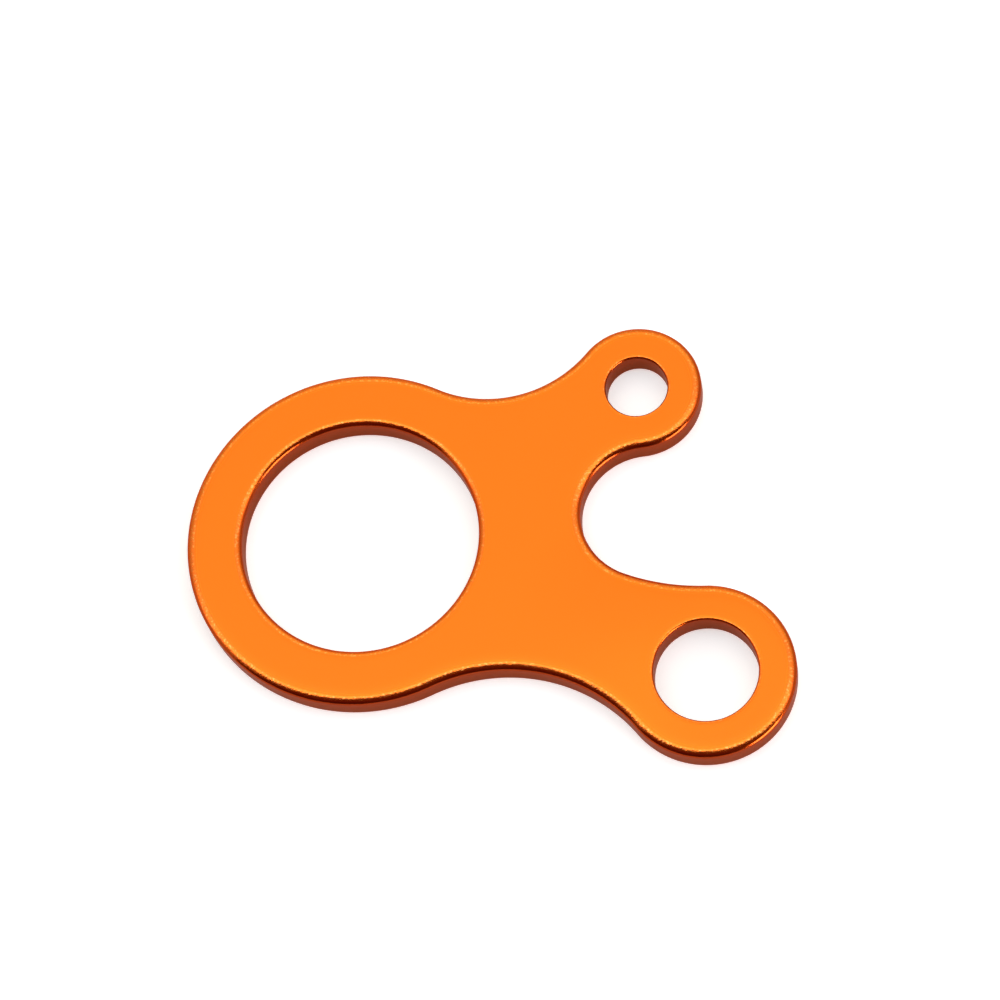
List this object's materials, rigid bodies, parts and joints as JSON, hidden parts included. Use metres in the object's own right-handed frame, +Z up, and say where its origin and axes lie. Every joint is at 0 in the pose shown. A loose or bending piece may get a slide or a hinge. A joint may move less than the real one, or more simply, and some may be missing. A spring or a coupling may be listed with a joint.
{
  "type": "cord adjuster plate",
  "caption": "Flat anodised aluminium plate with a large ring and two smaller holed lobes astride a rounded notch, for adjusting and tying off light cord.",
  "frame": {"origin": "under the middle of the plate, in the plane that it lies on", "axes": "+X from the ring half way between the two lobes, +Z up out of the face with the rounded edges, +Y towards the small lobe"},
  "size_m": [0.0604, 0.0458, 0.003],
  "materials": {
    "anodised_orange": "satin orange anodising over a tumbled sheet, darker on the punched walls"
  },
  "bodies": {
    "root": {"adjuster_plate": "anodised_orange"}
  },
  "joints": []
}
